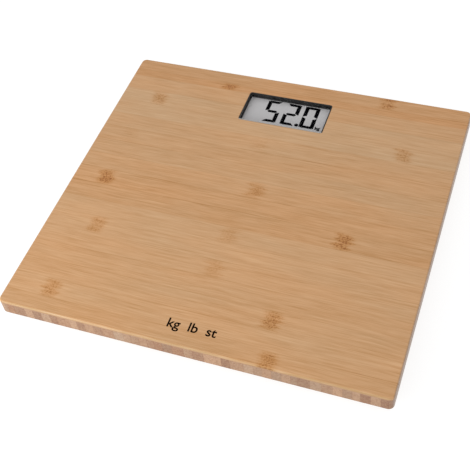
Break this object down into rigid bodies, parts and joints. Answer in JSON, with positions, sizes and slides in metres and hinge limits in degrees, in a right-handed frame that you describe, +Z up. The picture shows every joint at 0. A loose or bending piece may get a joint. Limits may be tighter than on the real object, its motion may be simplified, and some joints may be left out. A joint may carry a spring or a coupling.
{
  "type": "digital bathroom scale",
  "caption": "Bathroom scale: thick bamboo platform with a recessed liquid-crystal display at one edge, on round load-cell feet, with a battery door and a unit button underneath.",
  "frame": {"origin": "on the floor under the middle of the platform, at the height of the pads' soles", "axes": "+X to the right of a person reading the display, +Y from the near edge to the display edge, +Z up"},
  "size_m": [0.317, 0.3, 0.023],
  "materials": {
    "bamboo": "satin lacquer over side-pressed strips",
    "black_plastic": "fine moulded texture",
    "clear_acrylic": "polished clear",
    "black_foam": "closed-cell foam",
    "lcd_glass": "polished, with polarising film",
    "reflector_film": "brushed silver-grey film",
    "zebra_rubber": "silicone with carbon layers",
    "circuit_laminate": "green solder mask",
    "black_epoxy": "poured epoxy drop",
    "bright_steel": "nickel plated",
    "chip_ceramic": "fired ceramic",
    "spring_metal": "tinned spring strip",
    "white_plastic": "fine moulded texture",
    "grey_plastic": "fine moulded texture",
    "gauge_film": "amber film",
    "red_insulation": "soft insulation",
    "black_insulation": "soft insulation",
    "white_insulation": "soft insulation",
    "clear_tape": "amber adhesive tape",
    "cell_steel": "stamped and plated",
    "grey_rubber": "moulded rubber"
  },
  "bodies": {
    "platform": {"platform_board": "bamboo", "display_bezel": "black_plastic", "display_lens": "clear_acrylic", "display_gasket": "black_foam", "lcd_front_glass": "lcd_glass", "lcd_rear_glass": "lcd_glass", "lcd_reflector": "reflector_film", "zebra_strips": "zebra_rubber", "circuit_board": "circuit_laminate", "processor_blob": "black_epoxy", "clock_crystal": "bright_steel", "chip_parts": "chip_ceramic", "pcb_screws": "bright_steel", "coin_cell": "bright_steel", "battery_contact_plus": "spring_metal", "battery_contact_minus": "spring_metal", "rear_case": "white_plastic", "unit_switch": "black_plastic", "strain_gauges": "gauge_film", "red_leads": "red_insulation", "black_leads": "black_insulation", "white_leads": "white_insulation", "lead_tapes": "clear_tape", "foot_screws": "bright_steel", "case_screws": "bright_steel", "foot_base_front_left": "white_plastic", "load_cell_front_left": "cell_steel", "foot_ring_front_left": "white_plastic", "foot_base_front_right": "white_plastic", "load_cell_front_right": "cell_steel", "foot_ring_front_right": "white_plastic", "foot_base_back_left": "white_plastic", "load_cell_back_left": "cell_steel", "foot_ring_back_left": "white_plastic", "foot_base_back_right": "white_plastic", "load_cell_back_right": "cell_steel", "foot_ring_back_right": "white_plastic"},
    "battery_door": {"battery_door": "white_plastic"},
    "unit_button": {"unit_button": "grey_plastic", "switch_plunger": "black_plastic"},
    "foot_front_left": {"foot_cap_front_left": "white_plastic", "foot_pad_front_left": "grey_rubber"},
    "foot_front_right": {"foot_cap_front_right": "white_plastic", "foot_pad_front_right": "grey_rubber"},
    "foot_back_left": {"foot_cap_back_left": "white_plastic", "foot_pad_back_left": "grey_rubber"},
    "foot_back_right": {"foot_cap_back_right": "white_plastic", "foot_pad_back_right": "grey_rubber"}
  },
  "joints": [
    {"name": "battery_door_hinge", "type": "hinge", "parent": "platform", "child": "battery_door", "pos_m": [-0.0216, 0.1212, 0.0069], "axis": [1, 0, 0], "range_deg": [0, 85]},
    {"name": "unit_button_press", "type": "slide", "parent": "platform", "child": "unit_button", "axis": [0, 0, 1], "range_m": [0, 0.0004], "stiffness_N_per_m": 4000},
    {"name": "foot_front_left_drop", "type": "slide", "parent": "platform", "child": "foot_front_left", "axis": [0, 0, 1], "range_m": [-0.0004, 0]},
    {"name": "foot_front_right_drop", "type": "slide", "parent": "platform", "child": "foot_front_right", "axis": [0, 0, 1], "range_m": [-0.0004, 0]},
    {"name": "foot_back_left_drop", "type": "slide", "parent": "platform", "child": "foot_back_left", "axis": [0, 0, 1], "range_m": [-0.0004, 0]},
    {"name": "foot_back_right_drop", "type": "slide", "parent": "platform", "child": "foot_back_right", "axis": [0, 0, 1], "range_m": [-0.0004, 0]}
  ]
}
